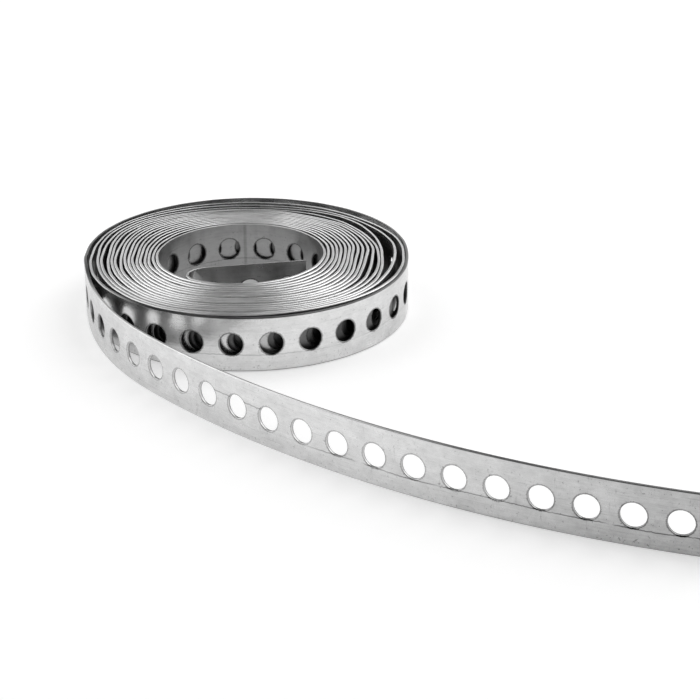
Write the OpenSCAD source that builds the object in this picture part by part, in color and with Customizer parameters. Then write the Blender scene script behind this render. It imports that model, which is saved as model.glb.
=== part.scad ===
// A roll of perforated metal strap that lies flat on its strap edges. It is one long
// band with a row of punched holes, wound into a coil. The coil's axis is Z and its
// underside is the plane z = 0. Seen from above, the band runs counter-clockwise from
// its inner end, which crosses the bore, to its outer end, which stands clear in front.

/* [Strap] */
// Width of the strap, which is the height of the roll as it lies
strap_w = 20; // [14:1:30]
// Thickness of the strap
strap_t = 1; // [0.5:0.1:1.2]
// Diameter of each hole
hole_d = 8; // [4:0.5:10]
// Distance from one hole to the next along the strap
hole_pitch = 13.7; // [11:0.1:20]

/* [Roll] */
// Number of turns, counted on the right-hand side
turns = 17; // [10:1:22]
// Radius of the innermost turn, to the middle of the strap
bore_r = 30.7; // [25:0.05:40]
// How far the innermost turn's centre lies to the left of the axis
bore_shift = 3.6; // [0:0.2:5]
// Length of the flat on each side of every turn, which makes the roll slightly oval
side_flat = 4.8; // [1:0.2:8]
// Gap between the turns nearest the bore
inner_gap = 0.36; // [0.2:0.02:0.6]
// Gap between the looser turns outside them
outer_gap = 1.0; // [0.6:0.05:1.6]
// First of the looser turns on the right-hand side
loose_right = 10; // [6:1:12]
// First of the looser turns on the left-hand side
loose_left = 13; // [6:1:16]
// The turn that has sprung away from the one inside it, on the right
sprung_turn = 15; // [13:1:16]
// Gap inside the turn before it, which lies close
close_gap = 0.3; // [0.1:0.05:0.6]
// Gap inside the sprung turn
sprung_gap = 4.1; // [0.5:0.1:4.5]
// Gap inside the turn after it
second_gap = 2.3; // [0.5:0.1:3]
// Gap inside each turn after that
last_gap = 0.5; // [0.3:0.1:1.2]

/* [Inner end] */
// Length of the straight end that crosses the bore
inner_end_l = 38.5; // [20:0.5:40]
// Direction in which the strap runs from its inner cut end, in degrees from +X
inner_end_dir = 192; // [186:1:200]
// Radius of the tight bend between that end and the innermost turn
inner_bend_r = 6.5; // [5:0.5:8]
// Place of the bend's far end on the innermost turn, in degrees from +X
inner_bend_at = 235; // [225:1:245]

/* [Outer end] */
// Length of the outer end, from the left of the roll, to within half a pitch
outer_end_l = 302; // [240:10:500]
// Radius of the first bend, where the strap leaves the roll
leave_r = 33; // [25:1:60]
// Angle of the first bend
leave_angle = 10.6; // [6:0.2:16]
// Radius of the almost straight stretch after it
straight_r = 290; // [200:10:600]
// Angle of the almost straight stretch
straight_angle = 3.2; // [1:0.2:6]
// Radius of the bend that turns the strap across the front
front_bend_r = 125; // [90:1:160]
// Angle of that bend
front_bend_angle = 26; // [20:0.5:32]
// Radius of the long sweep in front of the roll, up to the cut end
sweep_r = 345; // [280:5:500]

/* [Hidden] */

// Sides of a full turn and of a hole in a mesh of the part
turn_fn = 180;
hole_fn = 24;
// Longest flat that stands for a curve in the two free ends
facet_l = 3.5;

// A stretch of the strap's middle line: [point, radius, angle, length]. An arc starts
// at that angle about the point. A straight, of radius 0, starts at the point and runs
// in the direction of the angle.
POINT = 0;
RADIUS = 1;
ANGLE = 2;
LENGTH = 3;

function along(angle) = [cos(angle), sin(angle)];
function arc_l(radius, turn) = radius * turn * PI / 180;

// The point and direction of the middle line, at a distance from a stretch's start.
function spot(stretch, s) =
    stretch[RADIUS] == 0
    ? [stretch[POINT] + s * along(stretch[ANGLE]), stretch[ANGLE]]
    : let (angle = stretch[ANGLE] + s / stretch[RADIUS] * 180 / PI)
      [stretch[POINT] + stretch[RADIUS] * along(angle), angle + 90];

// An arc that runs on smoothly from the end of another stretch.
function bend_after(stretch, radius, turn) =
    let (end = spot(stretch, stretch[LENGTH]))
    [end[0] + radius * along(end[1] + 90), radius, end[1] - 90, arc_l(radius, turn)];

// Gap inside turn k, on the right and on the left.
function right_gap(k) =
    k < loose_right ? inner_gap
    : k < sprung_turn - 1 ? outer_gap
    : k < sprung_turn ? close_gap
    : k == sprung_turn ? sprung_gap
    : k == sprung_turn + 1 ? second_gap
    : last_gap;
function left_gap(k) = k < loose_left ? inner_gap : outer_gap;

// Distance of turn k's middle line from the axis, on the right and on the left.
function right(k) = k == 1 ? bore_r - bore_shift : right(k - 1) + strap_t + right_gap(k);
function left(k) = k == 1 ? bore_r + bore_shift : left(k - 1) + strap_t + left_gap(k);

// Each turn is a flat on the right, a half circle behind, a flat on the left and a half
// circle in front.
function half(from_left, from_right, y, angle) =
    let (radius = (from_left + from_right) / 2)
    [[(from_right - from_left) / 2, y], radius, angle, arc_l(radius, 180)];
function right_flat(k) = [[right(k), -side_flat / 2], 0, 90, side_flat];
function back_half(k) = half(left(k), right(k), side_flat / 2, 0);
function left_flat(k) = [[-left(k), side_flat / 2], 0, 270, side_flat];
function front_half(k) = half(left(k), right(k + 1), -side_flat / 2, 180);

coil = [
    for (k = [1:turns]) each k < turns
        ? [right_flat(k), back_half(k), left_flat(k), front_half(k)]
        : [right_flat(k), back_half(k)]
];

// The inner end: a straight across the bore, the tight bend, and an arc close inside
// the first front half.
inner_r = front_half(1)[RADIUS] - strap_t - inner_gap;
inner_arc = [
    front_half(1)[POINT], inner_r, inner_bend_at, arc_l(inner_r, 360 - inner_bend_at)
];
bend_angle = inner_end_dir - 90;
inner_bend = [
    inner_arc[POINT] + (inner_r - inner_bend_r) * along(inner_bend_at),
    inner_bend_r, bend_angle, arc_l(inner_bend_r, inner_bend_at - bend_angle)
];
inner_straight = [
    inner_bend[POINT] + inner_bend_r * along(bend_angle) - inner_end_l * along(inner_end_dir),
    0, inner_end_dir, inner_end_l
];
inner_end = [inner_straight, inner_bend, inner_arc];

// The outer end: a chain of bends, each smooth with the last.
leave_flat = left_flat(turns);
leave_bend = bend_after(leave_flat, leave_r, leave_angle);
near_straight = bend_after(leave_bend, straight_r, straight_angle);
front_bend = bend_after(near_straight, front_bend_r, front_bend_angle);
bends = [leave_flat, leave_bend, near_straight, front_bend];

// The strap was cut halfway between holes at both ends, so it is a whole number of
// pitches long. The long sweep takes up what is left of that length.
function total(stretches, n) = n == 0 ? 0 : stretches[n - 1][LENGTH] + total(stretches, n - 1);
function length(stretches) = total(stretches, len(stretches));
wound_l = length(inner_end) + length(coil);
hole_count = round((wound_l + outer_end_l) / hole_pitch);
sweep_l = hole_count * hole_pitch - wound_l - length(bends);
outer_end = concat(bends, [bend_after(front_bend, sweep_r, sweep_l / sweep_r * 180 / PI)]);

// The whole strap, and the distance of each stretch's start from the inner cut end.
strap_line = concat(inner_end, coil, outer_end);
starts = [
    for (i = 0, s = 0; i < len(strap_line); s = s + strap_line[i][LENGTH], i = i + 1) s
];
function stretch_at(s) = max([for (i = [0:len(starts) - 1]) if (starts[i] <= s) i]);
function place(s) = let (i = stretch_at(s)) spot(strap_line[i], s - starts[i]);

// Both faces of a chain of stretches, as the outline of a bent band.
function facets(stretch) = stretch[RADIUS] == 0 ? 1 : ceil(stretch[LENGTH] / facet_l);
function spots(chain) = concat(
    [for (stretch = chain) each
        [for (i = [0:facets(stretch) - 1]) spot(stretch, i / facets(stretch) * stretch[LENGTH])]],
    [spot(chain[len(chain) - 1], chain[len(chain) - 1][LENGTH])]
);
function face(chain, offset) = [for (at = spots(chain)) at[0] + offset * along(at[1] - 90)];
function reversed(list) = [for (i = [len(list) - 1:-1:0]) list[i]];

// Cutters for every hole that reaches into the stretch between two distances.
module holes(from, to) {
    first = max(0, ceil((from - hole_d / 2) / hole_pitch - 0.5));
    last = min(hole_count - 1, floor((to + hole_d / 2) / hole_pitch - 0.5));
    for (n = [first:1:last]) {
        at = place((n + 0.5) * hole_pitch);
        translate([at[0].x, at[0].y, strap_w / 2])
            rotate([0, 0, at[1]])
                rotate([90, 0, 0])
                    cylinder(d = hole_d, h = hole_d, center = true, $fn = hole_fn);
    }
}

// A free end: the band's outline raised to the strap's width, then punched.
module free_end(chain, start) {
    difference() {
        linear_extrude(strap_w)
            polygon(concat(face(chain, strap_t / 2), reversed(face(chain, -strap_t / 2))));
        holes(start, start + length(chain));
    }
}

// The strap's section, standing on the floor at its distance from a turn's centre.
module section(radius) {
    translate([radius - strap_t / 2, 0])
        square([strap_t, strap_w]);
}

// One stretch of the coil, turned about its centre or straight, then punched.
module coiled(stretch, start) {
    difference() {
        translate([stretch[POINT].x, stretch[POINT].y, 0])
            if (stretch[RADIUS] == 0)
                translate([-strap_t / 2, stretch[ANGLE] == 90 ? 0 : -side_flat, 0])
                    cube([strap_t, side_flat, strap_w]);
            else
                rotate_extrude(angle = 180, start = stretch[ANGLE], $fn = turn_fn)
                    section(stretch[RADIUS]);
        holes(start, start + stretch[LENGTH]);
    }
}

module strap() {
    color("silver") {
        free_end(inner_end, 0);
        for (i = [0:len(coil) - 1])
            coiled(coil[i], starts[len(inner_end) + i]);
        free_end(outer_end, wound_l);
    }
}

strap();
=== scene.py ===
"""A roll of perforated galvanised steel strap, lying flat with its outer end swept out.

The strap is modelled flat and straight: one perforated cell is punched, bevelled and
repeated, and the finished band is then wound along the same line as the CAD part.
"""
import logging
import math
from dataclasses import dataclass, field
from enum import Enum
from functools import partial
from typing import Callable, Union

import bpy
import numpy as np
from mathutils import Matrix, Vector


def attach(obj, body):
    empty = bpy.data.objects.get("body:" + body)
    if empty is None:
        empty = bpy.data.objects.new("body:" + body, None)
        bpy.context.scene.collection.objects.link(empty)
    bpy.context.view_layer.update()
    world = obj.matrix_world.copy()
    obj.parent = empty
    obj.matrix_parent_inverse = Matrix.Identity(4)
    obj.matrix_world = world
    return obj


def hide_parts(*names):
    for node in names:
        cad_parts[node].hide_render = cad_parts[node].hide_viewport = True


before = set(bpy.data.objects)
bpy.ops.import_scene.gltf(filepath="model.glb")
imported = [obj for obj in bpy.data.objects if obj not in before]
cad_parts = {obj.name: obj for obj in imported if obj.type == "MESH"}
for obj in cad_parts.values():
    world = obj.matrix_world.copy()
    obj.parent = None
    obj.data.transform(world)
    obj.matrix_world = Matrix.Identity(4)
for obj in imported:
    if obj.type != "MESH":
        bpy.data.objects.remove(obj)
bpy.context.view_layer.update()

logging.basicConfig(level=logging.INFO, format="%(name)s: %(message)s")
LOG = logging.getLogger("strap_roll")

MM = 0.001
NEAR = 1e-6
Number = Union[int, float]
Point = tuple[float, float]
Place = tuple[float, float, float]
Reach = tuple[float, float]


# ---- the wound line


def stepped(point: Point, degrees: float, reach: float) -> Point:
    """The point at a distance from another one, in a direction."""
    turn = math.radians(degrees)
    return point[0] + reach * math.cos(turn), point[1] + reach * math.sin(turn)


@dataclass(frozen=True)
class Stretch:
    """A straight or an arc of the strap's middle line, in millimetres and degrees.

    An arc starts at `angle` about `point`. A straight, of radius 0, starts at `point` and
    runs in the direction `angle`.
    """

    point: Point
    radius: float
    angle: float
    length: float

    def spot(self, s: float) -> Place:
        """The place and heading of the line at a distance from the stretch's start.

        Args:
            s: Distance from the start of the stretch.

        Returns:
            x, y and the heading in degrees.
        """
        if self.radius == 0:
            return (*stepped(self.point, self.angle, s), self.angle)
        angle = self.angle + math.degrees(s / self.radius)
        return (*stepped(self.point, angle, self.radius), angle + 90)

    def bend_after(self, radius: float, turn: float) -> "Stretch":
        """An arc that runs on smoothly from the end of this stretch.

        Args:
            radius: Radius of the new arc.
            turn: Angle that it turns through.

        Returns:
            The new arc.
        """
        x, y, heading = self.spot(self.length)
        centre = stepped((x, y), heading + 90, radius)
        return Stretch(centre, radius, heading - 90, radius * math.radians(turn))


@dataclass
class WoundLine:
    """The line that the strap's middle follows, from its inner to its outer cut end.

    It is in millimetres and degrees, and turn 1 is the innermost. `leave`, `straight` and
    `front_bend` are the radius and the angle of the outer end's bends, in their order.
    """

    pitch: float = 13.7
    thickness: float = 1.0
    turns: int = 17
    bore_r: float = 30.7
    bore_shift: float = 3.6
    side_flat: float = 4.8
    inner_gap: float = 0.36
    outer_gap: float = 1.0
    loose_right: int = 10
    loose_left: int = 13
    sprung_turn: int = 15
    close_gap: float = 0.3
    sprung_gap: float = 4.1
    second_gap: float = 2.3
    last_gap: float = 0.5
    inner_end_l: float = 38.5
    inner_end_dir: float = 192.0
    inner_bend_r: float = 6.5
    inner_bend_at: float = 235.0
    outer_end_l: float = 302.0
    leave: Point = (33.0, 10.6)
    straight: Point = (290.0, 3.2)
    front_bend: Point = (125.0, 26.0)
    sweep_r: float = 345.0
    stretches: list[Stretch] = field(default_factory=list)
    starts: list[float] = field(default_factory=list)
    inner_parts: int = 0
    wound_l: float = 0.0
    hole_count: int = 0

    def __post_init__(self) -> None:
        """Works out every stretch and where it starts."""
        self.stretches = self._inner_end()
        self.inner_parts = len(self.stretches)
        self.stretches += self._coil()
        self.wound_l = sum(part.length for part in self.stretches)
        self.hole_count = round((self.wound_l + self.outer_end_l) / self.pitch)
        self.stretches += self._outer_end()
        at = 0.0
        for part in self.stretches:
            self.starts.append(at)
            at += part.length

    @property
    def length(self) -> float:
        """The strap's whole length."""
        return self.hole_count * self.pitch

    def _right_gap(self, k: int) -> float:
        """The gap inside turn k on the right.

        Args:
            k: Which turn.

        Returns:
            The gap in millimetres.
        """
        if k < self.loose_right:
            return self.inner_gap
        if k < self.sprung_turn - 1:
            return self.outer_gap
        named = {
            self.sprung_turn - 1: self.close_gap,
            self.sprung_turn: self.sprung_gap,
            self.sprung_turn + 1: self.second_gap,
        }
        return named.get(k, self.last_gap)

    def _left_gap(self, k: int) -> float:
        """The gap inside turn k on the left."""
        return self.inner_gap if k < self.loose_left else self.outer_gap

    def right(self, k: int) -> float:
        """Distance of turn k's middle line from the axis, on the right."""
        gaps = sum(self._right_gap(n) + self.thickness for n in range(2, k + 1))
        return self.bore_r - self.bore_shift + gaps

    def left(self, k: int) -> float:
        """Distance of turn k's middle line from the axis, on the left."""
        gaps = sum(self._left_gap(n) + self.thickness for n in range(2, k + 1))
        return self.bore_r + self.bore_shift + gaps

    def _half(self, left: float, right: float, y: float, angle: float) -> Stretch:
        """A half circle between a place on the left and one on the right.

        Args:
            left: Distance of its left end from the axis.
            right: Distance of its right end from the axis.
            y: Place of its centre across the roll.
            angle: Angle at which it starts.

        Returns:
            The half circle.
        """
        radius = (left + right) / 2
        return Stretch(((right - left) / 2, y), radius, angle, math.pi * radius)

    def _front_half(self, k: int) -> Stretch:
        """The half circle in front that leads from turn k to turn k + 1."""
        return self._half(self.left(k), self.right(k + 1), -self.side_flat / 2, 180)

    def _left_flat(self, k: int) -> Stretch:
        """The flat on the left of turn k."""
        return Stretch((-self.left(k), self.side_flat / 2), 0, 270, self.side_flat)

    def _inner_end(self) -> list[Stretch]:
        """The straight across the bore, the tight bend and the arc beside turn 1.

        Returns:
            The three stretches, from the cut end on.
        """
        first = self._front_half(1)
        radius = first.radius - self.thickness - self.inner_gap
        arc_l = radius * math.radians(360 - self.inner_bend_at)
        arc = Stretch(first.point, radius, self.inner_bend_at, arc_l)
        centre = stepped(first.point, self.inner_bend_at, radius - self.inner_bend_r)
        angle = self.inner_end_dir - 90
        bend_l = self.inner_bend_r * math.radians(self.inner_bend_at - angle)
        bend = Stretch(centre, self.inner_bend_r, angle, bend_l)
        start = stepped(bend.spot(0)[:2], self.inner_end_dir, -self.inner_end_l)
        return [Stretch(start, 0, self.inner_end_dir, self.inner_end_l), bend, arc]

    def _coil(self) -> list[Stretch]:
        """Every turn: a flat, a half circle behind, a flat and a half circle in front.

        Returns:
            The stretches of every turn, from the innermost on.
        """
        made: list[Stretch] = []
        for k in range(1, self.turns + 1):
            flat = Stretch((self.right(k), -self.side_flat / 2), 0, 90, self.side_flat)
            back = self._half(self.left(k), self.right(k), self.side_flat / 2, 0)
            made += [flat, back]
            if k < self.turns:
                made += [self._left_flat(k), self._front_half(k)]
        return made

    def _outer_end(self) -> list[Stretch]:
        """The chain of bends of the free outer end.

        Returns:
            The stretches, from the roll to the cut end.
        """
        bends = [self._left_flat(self.turns)]
        for radius, turn in (self.leave, self.straight, self.front_bend):
            bends.append(bends[-1].bend_after(radius, turn))
        left = self.length - self.wound_l - sum(part.length for part in bends)
        bends.append(bends[-1].bend_after(self.sweep_r, math.degrees(left / self.sweep_r)))
        return bends

    def _part_at(self, s: float) -> tuple[Stretch, float]:
        """The stretch that a distance along the strap falls in, and where it starts."""
        index = max(i for i, start in enumerate(self.starts) if start <= s + NEAR)
        return self.stretches[index], self.starts[index]

    def place(self, s: float) -> Point:
        """The middle line's place at a distance along the strap.

        Args:
            s: Distance along the strap from its inner cut end.

        Returns:
            x and y in millimetres.
        """
        part, start = self._part_at(s)
        x, y, _ = part.spot(s - start)
        return x, y


@dataclass(frozen=True)
class Lens:
    """A lens-shaped opening between two turns: outside which turn, where, how long, how wide.

    `angle` is where it is widest, 0 on the right, 90 behind, 180 on the left and 270 in
    front, and `spread` is half of its length, both in degrees. `width` is in millimetres.
    """

    turn: int
    angle: float
    spread: float
    width: float


@dataclass
class SettledTurns:
    """The turns as they have settled: pressed together, with lens-shaped openings left.

    The outermost turn and the outer end keep to the wound line exactly. `inner_circle` is
    the innermost turn's radius and how far it lies to the right and back of the axis, and
    `inner_dent` is the depth, direction and spread of the dent in it. `slack` says how
    unevenly the turns share the room that is left over, about `slack_middle` of the way
    out. `kink` is how much more the strap bends at a hole than between two holes.
    """

    line: WoundLine
    step: float = 1.5
    sample: float = 0.5
    steps_per_pitch: int = 20
    evened_over: int = 21
    inner_start: float = -124.0
    inner_circle: Place = (30.6, -3.3, 1.0)
    inner_dent: Place = (1.8, 150.0, 50.0)
    inner_rise: float = 60.0
    inner_bend_r: float = 6.5
    bend_step: float = 4.0
    pressed_gap: float = 0.08
    start_ease: float = 60.0
    end_ease: float = 50.0
    share_ease: float = 90.0
    slack: float = -0.467
    slack_middle: float = 0.4375
    kink: float = 0.55
    sharpest: float = 0.05
    lenses: tuple[Lens, ...] = (
        Lens(2, -5, 20, 0.45),
        Lens(5, 0, 22, 0.3),
        Lens(8, 3, 20, 0.5),
        Lens(9, -5, 22, 0.7),
        Lens(10, 10, 35, 0.5),
        Lens(11, -15, 42, 1.2),
        Lens(12, -12, 28, 1.4),
        Lens(12, 62, 26, 1.7),
        Lens(13, -35, 25, 0.7),
        Lens(13, 45, 42, 2.4),
        Lens(14, 8, 45, 3.8),
        Lens(15, -12, 42, 2.4),
        Lens(15, 24, 24, 1.2),
        Lens(16, 40, 30, 1.2),
        Lens(11, 98, 20, 0.6),
        Lens(13, 95, 60, 1.2),
        Lens(14, 95, 65, 1.4),
        Lens(15, 95, 75, 1.6),
        Lens(16, 85, 75, 4.2),
        Lens(2, 196, 20, 0.4),
        Lens(4, 190, 18, 0.4),
        Lens(6, 184, 18, 0.5),
        Lens(8, 178, 18, 0.5),
        Lens(9, 203, 20, 0.7),
        Lens(10, 186, 20, 0.9),
        Lens(11, 166, 20, 0.6),
        Lens(12, 210, 24, 0.7),
        Lens(13, 185, 28, 1.3),
        Lens(14, 166, 28, 0.8),
        Lens(15, 200, 48, 1.7),
        Lens(6, 268, 24, 0.9),
        Lens(9, 268, 26, 0.9),
        Lens(13, 268, 26, 1.1),
        Lens(15, 285, 52, 1.4),
    )

    def __post_init__(self) -> None:
        """Works out the whole line and its place at even steps along it."""
        turned = self._turned()
        bend = self._inner_bend(turned)
        from_s = self.line.wound_l + self.line.side_flat / 2
        samples = np.arange(from_s + self.sample, self.line.length, self.sample)
        tail = [self.line.place(s) for s in (*samples, self.line.length)]
        rough = np.vstack([bend, turned, tail])
        laid = float(np.hypot(*np.diff(rough, axis=0).T).sum())
        self.inner_straight = self.line.length - laid
        run = math.radians(self.line.inner_end_dir)
        start = rough[0] - self.inner_straight * np.array([math.cos(run), math.sin(run)])
        rough = np.vstack([start, rough])
        at = np.concatenate([[0.0], np.cumsum(np.hypot(*np.diff(rough, axis=0).T))])
        self.fine = self.line.pitch / self.steps_per_pitch
        self.at = np.arange(0, self.line.length + self.fine / 2, self.fine)
        self.x = np.interp(self.at, at, rough[:, 0])
        self.y = np.interp(self.at, at, rough[:, 1])
        heading = np.unwrap(np.arctan2(np.gradient(self.y), np.gradient(self.x)))
        even = np.ones(self.evened_over) / self.evened_over
        padded = np.pad(heading, self.evened_over // 2, "edge")
        self.bending = np.gradient(np.convolve(padded, even, "valid"), self.fine)

    @staticmethod
    def _ramp(x: np.ndarray, start: float, end: float) -> np.ndarray:
        """A smooth step from 0 at start to 1 at end."""
        part = np.clip((x - start) / (end - start), 0, 1)
        return part * part * (3 - 2 * part)

    def _innermost(self, turn: np.ndarray) -> np.ndarray:
        """Distance of the innermost turn from the axis.

        Args:
            turn: Winding angles in degrees.

        Returns:
            The distances in millimetres.
        """
        size, across, back = self.inner_circle
        depth, where, spread = self.inner_dent
        angle = np.radians(turn)
        circle = size + across * np.cos(angle) + back * np.sin(angle)
        rise = self._ramp(turn, self.inner_rise, self.inner_start + 360)
        step = self.line.thickness + self.line.inner_gap
        return circle - depth * np.exp(-(((turn - where) / spread) ** 2)) + rise * step

    def _gap(self, turn: np.ndarray, end: float) -> np.ndarray:
        """The gap between the strap and the turn outside it.

        Args:
            turn: Winding angles in degrees.
            end: Winding angle at which the outermost turn begins.

        Returns:
            The gaps in millimetres.
        """
        start = 1 - self._ramp(turn, self.inner_start, self.inner_start + self.start_ease)
        gap = self.pressed_gap + (self.line.inner_gap - self.pressed_gap) * start
        for lens in self.lenses:
            off = np.abs(turn - lens.angle - 360 * (lens.turn - 1)) / lens.spread
            gap = gap + lens.width / 2 * (1 + np.cos(np.pi * np.clip(off, 0, 1)))
        near = self._ramp(turn, end - self.end_ease, end)
        return gap * (1 - near) + self.line.outer_gap * near

    def _turned(self) -> np.ndarray:
        """Places of the turns, from the inner bend to where the outer end begins.

        For each direction the straps between the innermost and the outermost turn are
        stacked outwards with their gaps, and what space is left is shared among them.

        Returns:
            x and y of each place, in millimetres.
        """
        line, around = self.line, round(360 / self.step)
        end = 360.0 * (line.turns - 2) + 180
        last = line.wound_l + (line.side_flat + self.sample) / 2
        along = np.arange(line.starts[line.inner_parts], last, self.sample)
        outline = np.array([line.place(s) for s in along])
        outline_angle = np.degrees(np.unwrap(np.arctan2(outline[:, 1], outline[:, 0])))
        outline_angle -= 360 * round(outline_angle[0] / 360)
        outline_r = np.hypot(outline[:, 0], outline[:, 1])
        turn = np.arange(self.inner_start, end + 360 + 1e-6, self.step)
        radius = np.zeros_like(turn)
        radius[:around] = self._innermost(turn[:around])
        for first in range(around):
            stack = np.arange(first, len(turn), around)
            inside = turn[stack[:-1]]
            gap = self._gap(inside, end)
            share = self._ramp(inside, self.inner_start, self.inner_start + self.share_ease)
            share = share * (1 - self._ramp(inside, end - self.share_ease, end))
            part = inside / 360 / (line.turns - 1) - self.slack_middle
            share = share * (1 + self.slack * 2 * part)
            outer = np.interp(turn[stack[-1]], outline_angle, outline_r)
            free = outer - radius[first] - line.thickness * len(inside) - gap.sum()
            gap = gap + free * share / share.sum()
            radius[stack[1:]] = radius[first] + np.cumsum(line.thickness + gap)
        angle = np.radians(turn)
        return np.column_stack([radius * np.cos(angle), radius * np.sin(angle)])

    def _inner_bend(self, turned: np.ndarray) -> np.ndarray:
        """Places round the tight bend that leads from the inner end into the first turn.

        Args:
            turned: Places of the turns, from the first one on.

        Returns:
            x and y of each place on the bend.
        """
        way = turned[1] - turned[0]
        out = math.atan2(way[1], way[0]) - math.pi / 2
        centre = turned[0] - self.inner_bend_r * np.array([math.cos(out), math.sin(out)])
        start, end = self.line.inner_end_dir - 90, math.degrees(out) % 360
        angle = np.radians(np.arange(start, end, self.bend_step))
        return centre + self.inner_bend_r * np.column_stack([np.cos(angle), np.sin(angle)])

    def sag(self, s: float) -> float:
        """How far the strap lies inside its line, because it bends most at each hole.

        Args:
            s: Distance along the strap from its inner cut end.

        Returns:
            The distance towards the inside of the bend, in millimetres.
        """
        bending = float(np.interp(s, self.at, self.bending))
        wave = 1 - math.cos(2 * math.pi * (s / self.line.pitch - 0.5))
        reach = (self.line.pitch / 2 / math.pi) ** 2
        return self.kink * reach * min(bending, self.sharpest) * wave


# ---- hand tools


class Element(Enum):
    """What a mesh is made of."""

    VERT = "vertices"
    EDGE = "edges"
    FACE = "polygons"


class Bench:
    """Blender's own operators, used on one object at a time."""

    @staticmethod
    def clear() -> None:
        """Leaves edit mode and deselects every object."""
        if bpy.context.object and bpy.context.object.mode != "OBJECT":
            bpy.ops.object.mode_set(mode="OBJECT")
        bpy.ops.object.select_all(action="DESELECT")

    @staticmethod
    def pick(piece: bpy.types.Object) -> None:
        """Makes one object the only selected and active one."""
        Bench.clear()
        piece.select_set(True)
        bpy.context.view_layer.objects.active = piece

    @staticmethod
    def select(piece: bpy.types.Object, kind: Element, test: Callable[..., bool]) -> int:
        """Selects the elements whose corners pass a test, and stays in edit mode.

        Args:
            piece: The object whose elements are picked.
            kind: Which elements.
            test: Takes the places of an element's corners.

        Returns:
            How many were picked.
        """
        Bench.pick(piece)
        bpy.ops.object.mode_set(mode="EDIT")
        bpy.ops.mesh.select_mode(type=kind.name)
        bpy.ops.mesh.select_all(action="DESELECT")
        bpy.ops.object.mode_set(mode="OBJECT")
        chosen = 0
        for element in getattr(piece.data, kind.value):
            corners = getattr(element, "vertices", (element.index,))
            if test(*(piece.data.vertices[i].co for i in corners)):
                element.select = True
                chosen += 1
        bpy.ops.object.mode_set(mode="EDIT")
        return chosen

    @staticmethod
    def modifier(piece: bpy.types.Object, kind: str, **settings: object) -> None:
        """Adds a modifier, sets it up and applies it.

        Args:
            piece: The object that gets it.
            kind: The modifier's type.
            settings: Its settings, by name.
        """
        Bench.pick(piece)
        bpy.ops.object.modifier_add(type=kind)
        added = piece.modifiers[-1]
        for name, value in settings.items():
            setattr(added, name, value)
        bpy.ops.object.modifier_apply(modifier=added.name)


# ---- shader maths


class Finisher:
    """Builds the nodes of a material or of the world."""

    def __init__(
        self,
        owner: Union[bpy.types.Material, bpy.types.World],
        output: str = "ShaderNodeOutputMaterial",
    ) -> None:
        """Clears the owner's nodes and adds an output.

        Args:
            owner: The material or world.
            output: The output node's type.
        """
        self.owner = owner
        owner.use_nodes = True
        self.tree = owner.node_tree
        self.tree.nodes.clear()
        self.output = self.tree.nodes.new(output)

    def node(
        self,
        kind: str,
        settings: dict[str, object] | None = None,
        sockets: dict[Union[str, int], object] | None = None,
    ) -> bpy.types.Node:
        """Adds one node.

        Args:
            kind: The node's type.
            settings: Its settings, set first.
            sockets: Values or links of its inputs, by name or number.

        Returns:
            The node.
        """
        made = self.tree.nodes.new(kind)
        for name, value in (settings or {}).items():
            setattr(made, name, value)
        for name, value in (sockets or {}).items():
            if isinstance(value, Wire):
                self.tree.links.new(value.socket, made.inputs[name])
            else:
                made.inputs[name].default_value = value
        return made

    def finish(self, surface: "Wire") -> None:
        """Joins a shader to the output."""
        self.tree.links.new(surface.socket, self.output.inputs["Surface"])

    def wire(self, node: bpy.types.Node, output: Union[str, int] = 0) -> "Wire":
        """One output of a node, ready for maths."""
        return Wire(self, node.outputs[output])

    def math(self, operation: str, *values: object) -> "Wire":
        """A Math node on values or wires."""
        sockets = dict(enumerate(values))
        return self.wire(self.node("ShaderNodeMath", {"operation": operation}, sockets))

    def mix(self, factor: object, low: object, high: object) -> "Wire":
        """A colour that goes from low to high as the factor goes from 0 to 1."""
        sockets = {0: factor, 6: low, 7: high}
        return self.wire(self.node("ShaderNodeMix", {"data_type": "RGBA"}, sockets), 2)

    def smooth(self, value: object, start: float, end: float) -> "Wire":
        """A smooth step.

        Args:
            value: What is compared.
            start: Value at which the step begins.
            end: Value at which it ends.

        Returns:
            0 before start, 1 past end.
        """
        settings = {"interpolation_type": "SMOOTHSTEP"}
        sockets = {"Value": value, "From Min": start, "From Max": end}
        return self.wire(self.node("ShaderNodeMapRange", settings, sockets))

    def noise(self, vector: "Wire", detail: float) -> "Wire":
        """Noise from 0 to 1 that reads a vector."""
        sockets = {"Vector": vector, "Scale": 1.0, "Detail": detail}
        return self.wire(self.node("ShaderNodeTexNoise", None, sockets))

    def length(self, vector: "Wire") -> "Wire":
        """The length of a vector."""
        node = self.node("ShaderNodeVectorMath", {"operation": "LENGTH"}, {0: vector})
        return self.wire(node, "Value")

    def stretched(self, x: object, y: object, z: object) -> "Wire":
        """A vector put together from three values."""
        return self.wire(self.node("ShaderNodeCombineXYZ", None, {0: x, 1: y, 2: z}))


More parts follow.
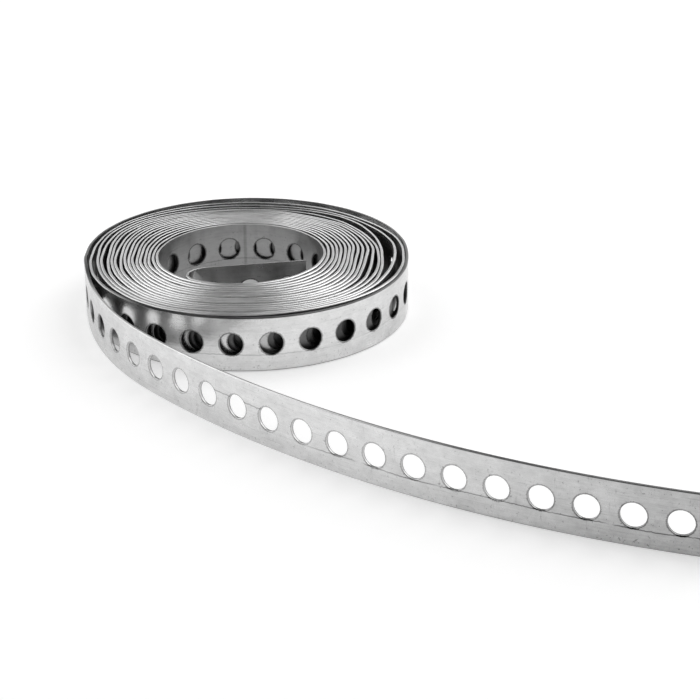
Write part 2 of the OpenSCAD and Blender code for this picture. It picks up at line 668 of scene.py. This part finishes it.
class Wire:
    """A node's output that can be used in Python expressions."""

    def __init__(self, finisher: Finisher, socket: bpy.types.NodeSocket) -> None:
        """Keeps the socket and the material that it belongs to."""
        self.finisher = finisher
        self.socket = socket

    def __add__(self, other: object) -> "Wire":
        """self + other."""
        return self.finisher.math("ADD", self, other)

    def __radd__(self, other: Number) -> "Wire":
        """other + self."""
        return self.finisher.math("ADD", other, self)

    def __sub__(self, other: object) -> "Wire":
        """self - other."""
        return self.finisher.math("SUBTRACT", self, other)

    def __rsub__(self, other: Number) -> "Wire":
        """other - self."""
        return self.finisher.math("SUBTRACT", other, self)

    def __mul__(self, other: object) -> "Wire":
        """self * other."""
        return self.finisher.math("MULTIPLY", self, other)

    def __rmul__(self, other: Number) -> "Wire":
        """other * self."""
        return self.finisher.math("MULTIPLY", other, self)

    def __truediv__(self, other: object) -> "Wire":
        """self / other."""
        return self.finisher.math("DIVIDE", self, other)

    def __rtruediv__(self, other: Number) -> "Wire":
        """other / self."""
        return self.finisher.math("DIVIDE", other, self)

    def __abs__(self) -> "Wire":
        """The value without its sign."""
        return self.finisher.math("ABSOLUTE", self)


# ---- finishes


@dataclass(frozen=True)
class Span:
    """A part of the strap, in millimetres from where its outer end leaves the roll.

    Something comes up to `depth` from `start` to `full`. It fades again from `fades` to
    `end`, or stays up to the cut end where those are None.
    """

    depth: float
    start: float
    full: float
    fades: float | None = None
    end: float | None = None


@dataclass(frozen=True)
class Pattern:
    """A noise pattern on the strap.

    `size` is its scale in millimetres along, through and up the strap. Where a size is
    None the pattern doesn't change that way, and `lane` says which slice of it is used.
    `lean` slants it, `depth` is how strong it is, and `shows` are the noise levels
    between which it comes into sight.
    """

    size: tuple[float, float | None, float | None]
    detail: float
    depth: float = 1.0
    shows: Reach = (0.0, 1.0)
    lane: Reach = (0.0, 0.0)
    lean: float = 0.0


@dataclass(frozen=True)
class FlatPlace:
    """Where a point lay on the strap before it was wound, in millimetres.

    `along` runs from the inner cut end, `through` from the outer to the inner face, with
    0 between them, and `height` from the lower edge up. `leaves` is the distance along
    the strap at which its outer end leaves the roll.
    """

    finisher: Finisher
    along: Wire
    through: Wire
    height: Wire
    leaves: float
    width: float

    def part(self, span: Span) -> Wire:
        """How strong a mark is that lies in a span.

        Args:
            span: The part of the strap.

        Returns:
            0 outside the span, up to its depth inside it.
        """
        past = (self.leaves + span.start, self.leaves + span.full)
        here = self.finisher.smooth(self.along, *past) * span.depth
        if span.fades is None:
            return here
        past = (self.leaves + span.fades, self.leaves + span.end)
        return here * (1 - self.finisher.smooth(self.along, *past))

    def noise(self, pattern: Pattern) -> Wire:
        """Noise in a pattern.

        Args:
            pattern: The pattern.

        Returns:
            A value from 0 to 1.
        """
        along, through, up = pattern.size
        y = pattern.lane[0] if through is None else self.through / through
        z = pattern.lane[1] if up is None else self.height / up
        if pattern.lean:
            z = z + self.along * pattern.lean
        place = self.finisher.stretched(self.along / along, y, z)
        return self.finisher.noise(place, pattern.detail)

    def swing(self, pattern: Pattern) -> Wire:
        """Noise about 0, as strong as its pattern."""
        return (self.noise(pattern) - 0.5) * pattern.depth

    def patches(self, pattern: Pattern) -> Wire:
        """The parts of a pattern that come into sight."""
        return self.shown(self.noise(pattern), pattern)

    def shown(self, noise: Wire, pattern: Pattern) -> Wire:
        """The parts of a noise that come into sight as in a pattern."""
        return self.finisher.smooth(noise, *pattern.shows) * pattern.depth


@dataclass(frozen=True)
class Scratches:
    """Hairlines, cross scratches, specks and the two long lines that the guides left."""

    low_guide: float = 6.0
    high_guide: float = 12.6
    guide_reach: Reach = (0.08, 0.3)
    guide_depth: float = 0.42
    drift: Pattern = Pattern((40, None, None), 1, 3.0, lane=(3.0, 0.0))
    shake: Pattern = Pattern((1.5, None, None), 2, 0.7, lane=(5.0, 0.0))
    broken: Pattern = Pattern((9, None, None), 2, 1.0, (0.3, 0.5), lane=(7.0, 0.0))
    lifted: Span = Span(1.0, -60, -30, 155, 170)
    on_roll: float = 0.6
    in_front: Span = Span(-0.3, -270, -240)
    outer_end: Span = Span(0.7, 0, 200)
    high_part: Span = Span(1.0, 112, 117, 141, 146)
    hairs: Pattern = Pattern((12, 1 / 3, 1 / 4), 1, 0.12, (0.64, 0.76))
    across: Pattern = Pattern((1 / 1.1, 1 / 3, 4), 4, 0.16, (0.64, 0.78), lean=1 / 12)
    specks: Pattern = Pattern((1 / 1.3, 1 / 1.3, 1 / 1.3), 3, 0.28, (0.645, 0.73))
    low_specks: float = 0.03
    low_reach: Reach = (1.5, 4)

    def darkness(self, at: FlatPlace) -> Wire:
        """How dark the scratches are.

        Args:
            at: The place on the flat strap.

        Returns:
            0 on clean sheet, more on a scratch.
        """
        wander = at.swing(self.drift) + at.swing(self.shake)
        low = self._guide_line(at, wander, self.low_guide) * at.patches(self.broken)
        depth = self.on_roll + at.part(self.in_front) + at.part(self.outer_end)
        low = low * (1 - at.part(self.lifted)) * depth
        high = self._guide_line(at, wander, self.high_guide) * at.part(self.high_part)
        scored = at.finisher.math("MAXIMUM", low, high) * self.guide_depth
        scored = scored + at.patches(self.hairs) + at.patches(self.across)
        more = (1 - at.finisher.smooth(at.height, *self.low_reach)) * self.low_specks
        return scored + at.shown(at.noise(self.specks) + more, self.specks)

    def _guide_line(self, at: FlatPlace, wander: Wire, height: float) -> Wire:
        """1 on a wandering line at a height, 0 beside it."""
        off = abs(at.height + wander - height)
        return 1 - at.finisher.smooth(off, *self.guide_reach)


@dataclass(frozen=True)
class PaintedShadeAndFolds:
    """Painted shade in spans and low down; darker folds near the inner end and its crease."""

    # Painted shade towards the outer end's cut end and where it leaves the roll; a short
    # stretch of the outermost turn is darker too.
    spans: tuple[Span, ...] = (
        Span(0.38, 170, 300),
        Span(0.18, -60, 0, 20, 90),
        Span(0.1, -226, -214, -206, -192),
    )
    # Painted shade low down on the faces.
    low: float = 0.07
    low_reach: Reach = (2, 14)
    folds: Pattern = Pattern((3.4, None, 30), 2, 0.06, (0.52, 0.66))
    folds_reach: Reach = (240, 280)
    crease: float = 0.24
    crease_at: float = 165.0
    crease_reach: Reach = (0.2, 0.9)

    def darkness(self, at: FlatPlace) -> Wire:
        """How much darker the painted shade, the folds and the crease make the zinc.

        Args:
            at: The place on the flat strap.

        Returns:
            0 outside them, more under painted shade, on the folds and at the crease.
        """
        f = at.finisher
        low_and_span_shade = (1 - f.smooth(at.height, *self.low_reach)) * self.low
        for span in self.spans:
            low_and_span_shade = low_and_span_shade + at.part(span)
        folds = at.patches(self.folds) * (1 - f.smooth(at.along, *self.folds_reach))
        crease = 1 - f.smooth(abs(at.along - self.crease_at), *self.crease_reach)
        return low_and_span_shade + folds + crease * self.crease


@dataclass(frozen=True)
class PaintedTurnShade:
    """Painted shade on the faces between the turns and on those that look at the axis.

    It starts some way below the strap's edges: further down on the tight inner turns
    than on the looser outer ones. The turns' reaches count from the inner cut end.
    """

    faces: Reach = (-0.2, 0.2)
    first_turn: Reach = (480, 500)
    loose_turns: Reach = (2300, 2900)
    tight_below: Reach = (5, 1.5)
    loose_below: Reach = (2.4, 0.7)
    inner_end: Reach = (45, 75)
    bend_end: Reach = (80, 90)
    open_inside: float = 0.52
    less_at_inner_end: float = 0.32
    less_on_roll: float = 0.42
    off_roll: Span = Span(1.0, -40, 0)
    hidden_inside: float = 0.64
    last_turn: Span = Span(1.0, -200, -120)
    hidden_outside: float = 0.82
    outer_turns: Span = Span(1.0, -760, -720)
    beneath: float = 0.05
    beneath_dark: Span = Span(0.83, -640, -608)
    beneath_lighter: Span = Span(-0.15, -592, -584)
    beneath_less_shade: Span = Span(0.85, -565, -535)
    beneath_no_shade: Span = Span(1.0, -390, -350)
    collar: Span = Span(0.78, -730, -700, -560, -540)
    collar_below: Reach = (4, 2.5)

    def darkness(self, at: FlatPlace) -> Wire:
        """How dark the painted shade is.

        Args:
            at: The place on the flat strap.

        Returns:
            0 where no shade is painted, up to 1 where it is deepest.
        """
        f = at.finisher
        inward = f.smooth(at.through, *self.faces)
        outward = 1 - inward
        tight = self._below_edges(at, self.tight_below)
        loose = f.smooth(at.along, *self.loose_turns)
        deep = self._below_edges(at, self.loose_below) * loose + tight * (1 - loose)
        hidden = (1 - at.part(self.outer_turns)) * self.hidden_outside
        outer_side = outward * f.math("MAXIMUM", self._beneath(at), hidden) * deep
        outer_side = outer_side * f.smooth(at.along, *self.bend_end)
        start, end = (at.width - depth for depth in self.collar_below)
        collar = f.smooth(at.height, start, end) * outward * at.part(self.collar)
        outer_side = f.math("MAXIMUM", outer_side, collar)
        return f.math("MAXIMUM", inward * self._inside(at, tight), outer_side)

    def _below_edges(self, at: FlatPlace, below: Reach) -> Wire:
        """1 in the middle of the strap's width, falling to 0 towards both edges."""
        start, end = (at.width / 2 - depth for depth in below)
        return 1 - at.finisher.smooth(abs(at.height - at.width / 2), start, end)

    def _inside(self, at: FlatPlace, tight: Wire) -> Wire:
        """The painted shade on the faces that look at the roll's axis.

        Args:
            at: The place on the flat strap.
            tight: 1 well below the edges of the strap.

        Returns:
            How dark it is.
        """
        after_first = at.finisher.smooth(at.along, *self.first_turn)
        inner_end = 1 - at.finisher.smooth(at.along, *self.inner_end)
        on_roll = after_first * (1 - at.part(self.off_roll))
        less = inner_end * self.less_at_inner_end + on_roll * self.less_on_roll
        hidden = after_first * (1 - at.part(self.last_turn)) * tight
        return self.open_inside - less + hidden * self.hidden_inside

    def _beneath(self, at: FlatPlace) -> Wire:
        """The painted shade on the face that shows through the holes of the outermost turn."""
        dark = self.beneath + at.part(self.beneath_dark) + at.part(self.beneath_lighter)
        return dark * (1 - at.part(self.beneath_less_shade)) * (1 - at.part(self.beneath_no_shade))


@dataclass(frozen=True)
class SlitEdge:
    """The tone of the slit edges, which are the turns on the roll's two ends.

    Reaches across the roll are in metres from its axis. Those along the strap are in
    millimetres from its inner cut end.
    """

    outermost: Span = Span(0.72, -350, -310, 20, 50)
    far: Span = Span(0.6, 140, 230)
    inner_end: float = 0.4
    inner_end_reach: Reach = (60, 80)
    crease: float = 0.45
    crease_at: float = 165.0
    crease_reach: Reach = (25, 60)
    left_reach: Reach = (-0.035, -0.005)
    middle_reach: Reach = (-0.028, -0.012)
    front_reach: Reach = (-0.02, 0.0)
    back_reach: Reach = (0.0, 0.03)
    # Painted shade on the outer turns' edges in front and on the left behind, and painted light
    # on the inner turns' edges behind the bore.
    painted_shade_turns: Reach = (1900, 3300)
    painted_shade_front: float = 0.1
    painted_shade_front_left: float = 0.18
    front_left_turns: Reach = (3000, 3600)
    painted_shade_back_left: float = 0.12
    painted_light_back: float = 0.2
    painted_light_turns: Reach = (1500, 2600)
    uneven: Pattern = Pattern((45, None, None), 1, 0.35, lane=(2.0, 9.0))

    def darkness(self, at: FlatPlace) -> Wire:
        """How much darker the edge is than the faces.

        Args:
            at: The place on the flat strap.

        Returns:
            0 where it is as bright as a face, less where it is brighter.
        """
        f = at.finisher
        inner_end = (1 - f.smooth(at.along, *self.inner_end_reach)) * self.inner_end
        crease = 1 - f.smooth(abs(at.along - self.crease_at), *self.crease_reach)
        first = f.math("MAXIMUM", inner_end, crease * self.crease)
        last = f.math("MAXIMUM", at.part(self.outermost), at.part(self.far))
        return f.math("MAXIMUM", last, first) + self._on_roll(at) + at.swing(self.uneven)

    def _on_roll(self, at: FlatPlace) -> Wire:
        """Painted shade on outer turns' edges; painted light on inner ones behind the bore.

        Args:
            at: The place on the flat strap.

        Returns:
            More than 0 where shade is painted, less where light is painted.
        """
        f = at.finisher
        place = f.wire(f.node("ShaderNodeTexCoord"), "Object")
        spot = f.node("ShaderNodeSeparateXYZ", None, {0: place})
        x, y = f.wire(spot, 0), f.wire(spot, 1)
        left, front = 1 - f.smooth(x, *self.left_reach), 1 - f.smooth(y, *self.front_reach)
        back = f.smooth(y, *self.back_reach)
        front_left = left * f.smooth(at.along, *self.front_left_turns)
        # Painted shade on the edges in front, more on the left, and on the left behind.
        painted_shading = front * (self.painted_shade_front + front_left * self.painted_shade_front_left)
        painted_shading = painted_shading + back * left * self.painted_shade_back_left
        # Painted light on the inner turns' edges behind the bore.
        bright = back * f.smooth(x, *self.middle_reach) * self.painted_light_back
        bright = bright * (1 - f.smooth(at.along, *self.painted_light_turns))
        return painted_shading * f.smooth(at.along, *self.painted_shade_turns) - bright


@dataclass(frozen=True)
class GalvanisedStrip:
    """Cold-rolled galvanised strip with punched holes and slit edges.

    It reads the strap's "flat" attribute: each point's place, in millimetres, on the
    strap before it was wound, which is distance along, across its thickness, and height.
    `headroom` is how much brighter than `colour` the brightest zinc may be.
    """

    line: WoundLine
    width: float
    hole_r: float
    colour: tuple[float, float, float] = (0.7, 0.7, 0.7)
    headroom: float = 1.3
    roughness: float = 0.25
    rough_mottle: float = 0.16
    rough_edge: float = 0.1
    rough_wall: float = 0.15
    rough_face_shade: float = 0.2
    mottle: Pattern = Pattern((9, 14, 6), 5, 0.36)
    grain: Pattern = Pattern((2.2, 1, 1.3), 3, 0.24)
    rolled: Pattern = Pattern((60, 1, 1 / 2.2), 3, 0.14)
    fine: Pattern = Pattern((7, 1, 1 / 9), 2, 0.06)
    ragged: Pattern = Pattern((1 / 2.5, 1 / 2.5, 1 / 2.5), 2, 0.9)
    edge_reach: Reach = (0.45, 0.25)
    # Painted shade round the holes and on their walls; on the outer end the rims get less of it
    # and the walls get painted light.
    rim: float = 0.58
    rim_reach: Reach = (0.24, 0.62)
    outer_end_rim: Span = Span(-0.22, -20, 40)
    wall: float = 0.1
    wall_reach: Reach = (-0.05, 0.08)
    outer_end_wall: Span = Span(-0.4, -20, 40)
    relief: float = 0.25
    relief_height: float = 0.1 * MM
    raised_rolled: float = 0.5
    raised_fine: float = 0.25
    raised_mottle: float = 0.6

    def build(self) -> bpy.types.Material:
        """Makes the material.

        Returns:
            The material, for a mesh with a "flat" attribute.
        """
        f = Finisher(bpy.data.materials.new("galvanised_strip"))
        flat = f.wire(f.node("ShaderNodeAttribute", {"attribute_name": "flat"}), "Vector")
        apart = f.node("ShaderNodeSeparateXYZ", None, {0: flat})
        at = FlatPlace(f, *(f.wire(apart, i) for i in range(3)), self.line.wound_l, self.width)
        start, end = (self.width / 2 - inset for inset in self.edge_reach)
        edge = f.smooth(abs(at.height - self.width / 2), start, end)
        hole = self._hole_distance(at)
        wall = 1 - f.smooth(hole, *(self.hole_r + reach for reach in self.wall_reach))
        start, end = (self.hole_r + reach for reach in self.rim_reach)
        rim = 1 - f.smooth(hole + at.swing(self.ragged), start, end)
        # Painted shade in a ragged ring round each hole and on its wall, turning to painted
        # light on the outer end's hole walls.
        painted_shading = rim * (self.rim + at.part(self.outer_end_rim))
        painted_shading = painted_shading + wall * (self.wall + at.part(self.outer_end_wall))
        mottle, rolled, fine = (at.noise(one) for one in (self.mottle, self.rolled, self.fine))
        tone = (mottle - 0.5) * self.mottle.depth + at.swing(self.grain)
        tone = tone + (rolled - 0.5) * self.rolled.depth + (fine - 0.5) * self.fine.depth
        marks = Scratches().darkness(at)
        # Painted shade on the faces between the turns, on the inward faces and behind the outer
        # turn's holes.
        face_shade = PaintedTurnShade().darkness(at) * (1 - edge)
        shade = 1 + tone - painted_shading
        # Scratches, then painted shade on the outer end and low down, and darker folds and
        # crease.
        shade = shade - (marks + PaintedShadeAndFolds().darkness(at)) * (1 - edge)
        # The slit edges' tone, with painted shade and painted light by where they lie on the
        # roll.
        shade = shade * (1 - edge * SlitEdge().darkness(at)) * (1 - face_shade)
        brightest = tuple(level * self.headroom for level in self.colour)
        base = f.mix(shade / self.headroom, (0, 0, 0, 1), (*brightest, 1))
        rough = self.roughness + (mottle - 0.5) * self.rough_mottle + edge * self.rough_edge
        rough = rough + wall * self.rough_wall + face_shade * self.rough_face_shade
        bumps = rolled * self.raised_rolled + fine * self.raised_fine
        bumps = bumps + mottle * self.raised_mottle - marks
        bump = {"Strength": self.relief, "Distance": self.relief_height, "Height": bumps}
        normal = f.wire(f.node("ShaderNodeBump", None, bump))
        look = {"Base Color": base, "Metallic": 1.0, "Roughness": rough, "Normal": normal}
        f.finish(f.wire(f.node("ShaderNodeBsdfPrincipled", None, look)))
        return f.owner

    def _hole_distance(self, at: FlatPlace) -> Wire:
        """Distance from the middle of the nearest hole."""
        side = (at.finisher.math("FRACT", at.along / self.line.pitch) - 0.5) * self.line.pitch
        rise = at.height - self.width / 2
        return at.finisher.math("SQRT", side * side + rise * rise)


# ---- the strap


@dataclass
class Strap:
    """The whole band, punched and slit, wound along its line."""

    line: WoundLine
    turns: SettledTurns
    width: float = 20.0
    hole_r: float = 4.0
    hole_sides: int = 24
    rim_r: float = 4.9
    rim_bevel: float = 0.12
    outline_scale: float = 1.2
    outline_ease: float = 1.25
    rolled_edge: float = 0.45
    crisp_edge: float = 0.1
    edge_segments: int = 3
    take_up: float = 1.25e-5
    top_edge: float = 0.6
    slant: float = 0.16
    uneven: float = 0.36
    long_wave: float = 61.0
    short_wave: float = 23.7
    even_share: float = 0.4
    even_turns: Reach = (1800.0, 3000.0)
    leave_ease: float = 60.0
    smooth_angle: float = 38.0
    normal_weight: int = 60

    def build(self) -> bpy.types.Object:
        """Models the band flat, winds it and dresses it.

        Returns:
            The finished piece.
        """
        piece = self._punched_sheet()
        self._thicken(piece)
        self._soften(piece)
        self._repeat(piece)
        self._remember_flat(piece)
        self._wind(piece)
        Bench.pick(piece)
        bpy.ops.object.shade_smooth_by_angle(angle=math.radians(self.smooth_angle))
        Bench.modifier(piece, "WEIGHTED_NORMAL", keep_sharp=True, weight=self.normal_weight)
        piece.data.materials.clear()
        piece.data.materials.append(GalvanisedStrip(self.line, self.width, self.hole_r).build())
        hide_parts("strap")
        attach(piece, "root")
        return piece

    def _punched_sheet(self) -> bpy.types.Object:
        """One pitch of the band's near face: a hole, its rim and the sheet around it.

        Returns:
            The face, standing upright along X.
        """
        reach, rise = self.line.pitch / 2 * MM, self.width / 2 * MM
        centre = (reach, -self.line.thickness / 2 * MM, rise)
        Bench.clear()
        bpy.ops.mesh.primitive_circle_add(
            vertices=self.hole_sides,
            radius=self.hole_r * MM,
            location=centre,
            rotation=(math.pi / 2, 0, 0),
        )
        piece = bpy.context.object
        piece.name = piece.data.name = "perforated_strap"
        bpy.ops.object.transform_apply(location=True, rotation=True, scale=True)
        bpy.ops.object.mode_set(mode="EDIT")
        bpy.ops.mesh.select_all(action="SELECT")
        for scale in (self.rim_r / self.hole_r, self.outline_scale):
            bpy.ops.mesh.extrude_edges_move()
            bpy.ops.transform.resize(value=(scale,) * 3, center_override=centre)
        bpy.ops.object.mode_set(mode="OBJECT")
        outer = [v.index for v in piece.data.vertices if v.select]
        for index in outer:
            self._to_outline(piece, index, centre, reach, rise)
        return piece

    def _to_outline(
        self, piece: bpy.types.Object, index: int, centre: Place, reach: float, rise: float
    ) -> None:
        """Moves one corner of the rim straight out to the cell's outline.

        Args:
            piece: The face that is being shaped.
            index: Which corner.
            centre: Middle of the hole.
            reach: Half the cell's length.
            rise: Half the cell's height.
        """
        at = piece.data.vertices[index].co.copy()
        spoke = at - Vector(centre)
        step = 2 * math.pi / self.hole_sides
        turn = round(math.atan2(spoke.z, spoke.x) / step)
        quarter = self.hole_sides // 4
        part = abs(turn) if abs(turn) <= quarter else 2 * quarter - abs(turn)
        corner = quarter * 2 // 3
        if part <= corner:
            x, z = reach, rise * (part / corner) ** self.outline_ease
        else:
            x, z = reach * (quarter - part) / (quarter - corner), rise
        left = abs(turn) > quarter
        target = Vector((-x if left else x, 0, -z if turn < 0 else z)) + Vector(centre)

        def is_here(corner: Vector) -> bool:
            """Whether it is the corner that moves."""
            return (corner - at).length < NEAR

        Bench.select(piece, Element.VERT, is_here)
        bpy.ops.transform.translate(value=target - at)
        bpy.ops.object.mode_set(mode="OBJECT")

    def _thicken(self, piece: bpy.types.Object) -> None:
        """Gives the sheet its thickness and opens both ends of the cell.

        Args:
            piece: The flat face of one cell.
        """
        thickness, pitch = self.line.thickness * MM, self.line.pitch * MM
        Bench.pick(piece)
        bpy.ops.object.mode_set(mode="EDIT")
        bpy.ops.mesh.select_all(action="SELECT")
        bpy.ops.mesh.extrude_region_move(TRANSFORM_OT_translate={"value": (0, thickness, 0)})
        bpy.ops.mesh.select_all(action="SELECT")
        bpy.ops.mesh.normals_make_consistent(inside=False)
        bpy.ops.object.mode_set(mode="OBJECT")

        def on_end(*corners: Vector) -> bool:
            """Whether a face closes an end of the cell."""
            return any(all(abs(one.x - end) < NEAR for one in corners) for end in (0, pitch))

        Bench.select(piece, Element.FACE, on_end)
        bpy.ops.mesh.delete(type="ONLY_FACE")
        bpy.ops.object.mode_set(mode="OBJECT")

    def _soften(self, piece: bpy.types.Object) -> None:
        """Bevels the punched rims and rounds the slit edges.

        Args:
            piece: One cell of the sheet.
        """
        middle, width = Vector((self.line.pitch / 2, 0, self.width / 2)) * MM, self.width * MM

        def on_rim(one: Vector, two: Vector) -> bool:
            """Whether an edge is part of the hole's rim on one of the faces."""
            flat = [Vector((p.x - middle.x, p.z - middle.z)).length for p in (one, two)]
            return max(flat) < self.hole_r * MM + NEAR and abs(one.y - two.y) < NEAR

        def on_slit(side: int, one: Vector, two: Vector) -> bool:
            """Whether an edge runs along the top or the bottom of one side's face."""
            level = abs(one.z - two.z) < NEAR and not NEAR <= one.z <= width - NEAR
            return level and abs(one.y - two.y) < NEAR and one.y * side > 0

        for test, size, segments in (
            (on_rim, self.rim_bevel, 1),
            (partial(on_slit, -1), self.rolled_edge, self.edge_segments),
            (partial(on_slit, 1), self.crisp_edge, 1),
        ):
            found = Bench.select(piece, Element.EDGE, test)
            bpy.ops.mesh.bevel(offset=size * MM, segments=segments, affect="EDGES")
            bpy.ops.object.mode_set(mode="OBJECT")
            LOG.info("bevelled %d edges by %.2f mm", found, size)

    def _repeat(self, piece: bpy.types.Object) -> None:
        """Repeats the cell along the strap, joins the copies and closes both cut ends.

        Args:
            piece: One cell of the sheet.
        """
        Bench.modifier(
            piece,
            "ARRAY",
            count=self.line.hole_count,
            use_relative_offset=False,
            use_constant_offset=True,
            constant_offset_displace=(self.line.pitch * MM, 0, 0),
            use_merge_vertices=True,
            merge_threshold=2 * NEAR,
        )
        Bench.pick(piece)
        bpy.ops.object.mode_set(mode="EDIT")
        bpy.ops.mesh.select_mode(type="EDGE")
        bpy.ops.mesh.select_all(action="DESELECT")
        bpy.ops.mesh.select_non_manifold()
        bpy.ops.mesh.fill_holes(sides=0)
        bpy.ops.object.mode_set(mode="OBJECT")

    def _remember_flat(self, piece: bpy.types.Object) -> None:
        """Stores each point's flat place, then kinks the strap and lowers its top edge.

        Args:
            piece: The flat strap.
        """
        mesh = piece.data
        kept = mesh.attributes.new("flat", "FLOAT_VECTOR", "POINT")
        for item, vertex in zip(kept.data, mesh.vertices):
            s, through, height = vertex.co / MM
            item.vector = (s, through, height)
            vertex.co.x *= 1 - self.take_up
            vertex.co.y += self.turns.sag(s) * MM
            if height > self.width - self.top_edge:
                vertex.co.z -= self._lowered(s, through) * MM

    def _lowered(self, s: float, through: float) -> float:
        """How far the top edge of a turn lies below the strap's full width.

        Args:
            s: Distance along the strap from its inner cut end.
            through: Distance towards the inner face from halfway between the faces.

        Returns:
            The distance in millimetres, which is 0 on the outer end.
        """
        waves = math.sin(s / self.long_wave) + math.sin(s / self.short_wave + 2)
        start, end = self.even_turns
        loose = min(max((s - start) / (end - start), 0), 1)
        share = self.even_share + (1 - self.even_share) * loose
        slanted = self.slant * (0.5 - through / self.line.thickness)
        on_roll = min(max((self.line.wound_l - s) / self.leave_ease, 0), 1)
        return (self.uneven * (0.5 + waves / 4) * share + slanted) * on_roll

    def _wind(self, piece: bpy.types.Object) -> None:
        """Bends the straight strap along its settled line.

        Args:
            piece: The flat strap.
        """
        guide = bpy.data.curves.new("wound_line", "CURVE")
        guide.dimensions = "3D"
        guide.twist_mode = "Z_UP"
        spline = guide.splines.new("POLY")
        spline.points.add(len(self.turns.at) - 1)
        for point, x, y in zip(spline.points, self.turns.x, self.turns.y):
            point.co = (x * MM, y * MM, 0, 1)
        rail = bpy.data.objects.new("wound_line", guide)
        bpy.context.scene.collection.objects.link(rail)
        Bench.modifier(piece, "CURVE", object=rail, deform_axis="POS_X")
        bpy.data.objects.remove(rail)


# ---- the studio


class Panel(Enum):
    """Soft lamps: their place and size in metres, and their power in watts."""

    LEFT = ((-0.77, 0.25, 0.74), (1.2, 1.2), 7.0)
    RIGHT = ((0.67, 0.25, 0.86), (1.2, 1.2), 9.5)


@dataclass
class Studio:
    """A pale floor, soft lamps and a bright surround with a dim ceiling."""

    floor_size: float = 6.0
    floor_z: float = -0.0002
    floor_grey: float = 0.6
    glow: float = 0.5
    # Inside the roll's bore less of the glow shows, which paints shade on the floor there.
    bore_reach: Reach = (0.031, 0.034)
    glow_in_bore: float = 0.25
    aim: Place = (0.02, -0.05, 0.0)
    surround: tuple[Point, ...] = ((0, 1), (0.3, 1), (0.5, 0.28), (0.65, 0.07), (1, 0.05))

    def build(self) -> None:
        """Makes the floor, the lamps and the world."""
        self._floor()
        for panel in Panel:
            self._lamp(panel)
        self._world()

    def _floor(self) -> None:
        """The floor, which shows white where it is lit and keeps the object's shadow."""
        Bench.clear()
        bpy.ops.mesh.primitive_plane_add(size=self.floor_size, location=(0, 0, self.floor_z))
        floor = bpy.context.object
        floor.name = "floor"
        bpy.ops.object.transform_apply(location=True, rotation=True, scale=True)
        f = Finisher(bpy.data.materials.new("pale_floor"))
        grey = (self.floor_grey,) * 3
        paint = f.wire(f.node("ShaderNodeBsdfDiffuse", None, {"Color": (*grey, 1)}))
        path = f.node("ShaderNodeLightPath")
        camera, glossy, through = (
            f.wire(path, f"Is {ray} Ray") for ray in ("Camera", "Glossy", "Transmission")
        )
        # Painted shade on the floor inside the roll's bore, where only part of the glow shows.
        where = f.length(f.wire(f.node("ShaderNodeTexCoord"), "Object"))
        outside = f.smooth(where, *self.bore_reach) * (1 - self.glow_in_bore)
        seen = f.math("MAXIMUM", camera * (outside + self.glow_in_bore), glossy)
        seen = f.math("MAXIMUM", seen, through)
        sockets = {"Color": (1, 1, 1, 1), "Strength": self.glow}
        glow = f.wire(f.node("ShaderNodeEmission", None, sockets))
        lit = f.wire(f.node("ShaderNodeAddShader", None, {0: paint, 1: glow}))
        f.finish(f.wire(f.node("ShaderNodeMixShader", None, {0: seen, 1: paint, 2: lit})))
        floor.data.materials.append(f.owner)

    def _lamp(self, panel: Panel) -> None:
        """One soft rectangular lamp that faces the roll.

        Args:
            panel: Which lamp.
        """
        place, size, power = panel.value
        Bench.clear()
        bpy.ops.object.light_add(type="AREA", location=place)
        lamp = bpy.context.object
        lamp.name = f"lamp_{panel.name.lower()}"
        lamp.data.shape = "RECTANGLE"
        lamp.data.size, lamp.data.size_y = size
        lamp.data.energy = power
        way = Vector(self.aim) - Vector(place)
        lamp.rotation_euler = way.to_track_quat("-Z", "Y").to_euler()

    def _world(self) -> None:
        """White around and below, dim overhead."""
        bpy.context.scene.world = bpy.data.worlds.new("surround")
        f = Finisher(bpy.context.scene.world, "ShaderNodeOutputWorld")
        way = f.wire(f.node("ShaderNodeTexCoord"), "Generated")
        apart = f.node("ShaderNodeSeparateXYZ", None, {0: way})
        ramp = f.node("ShaderNodeValToRGB", None, {0: f.wire(apart, 2)})
        stops = ramp.color_ramp.elements
        while len(stops) < len(self.surround):
            stops.new(0.5)
        for stop, (place, grey) in zip(stops, self.surround):
            stop.position = place
            stop.color = (grey, grey, grey, 1)
        f.finish(f.wire(f.node("ShaderNodeBackground", None, {"Color": f.wire(ramp)})))


@dataclass
class Camera:
    """The camera, with its place in millimetres and its angles in degrees."""

    place: Place = (43.74, -674.25, 280.86)
    tilt: float = 66.44
    roll: float = 0.2
    lens: float = 102.24
    sensor: float = 36.0
    shift: Point = (-0.0284, -0.0187)
    clip: Reach = (0.01, 50.0)

    def build(self) -> None:
        """Makes the camera and gives it to the scene."""
        Bench.clear()
        bpy.ops.object.camera_add()
        camera = bpy.context.object
        camera.name = "camera"
        camera.data.lens = self.lens
        camera.data.sensor_width = self.sensor
        camera.data.shift_x, camera.data.shift_y = self.shift
        camera.data.clip_start, camera.data.clip_end = self.clip
        tilt = Matrix.Rotation(math.radians(self.tilt), 4, "X")
        roll = Matrix.Rotation(math.radians(self.roll), 4, "Z")
        camera.matrix_world = Matrix.Translation(Vector(self.place) * MM) @ tilt @ roll
        bpy.context.scene.camera = camera


def main() -> None:
    """Builds the strap, the studio and the camera, in that order."""
    bpy.context.scene.view_settings.view_transform = "Standard"
    line = WoundLine()
    LOG.info("strap: %.1f mm long, %d holes", line.length, line.hole_count)
    turns = SettledTurns(line)
    LOG.info("inner end: %.1f mm straight", turns.inner_straight)
    piece = Strap(line, turns).build()
    triangles = sum(len(face.vertices) - 2 for face in piece.data.polygons)
    LOG.info("%s: %d triangles", piece.name, triangles)
    Studio().build()
    Camera().build()


if __name__ == "__main__":
    main()
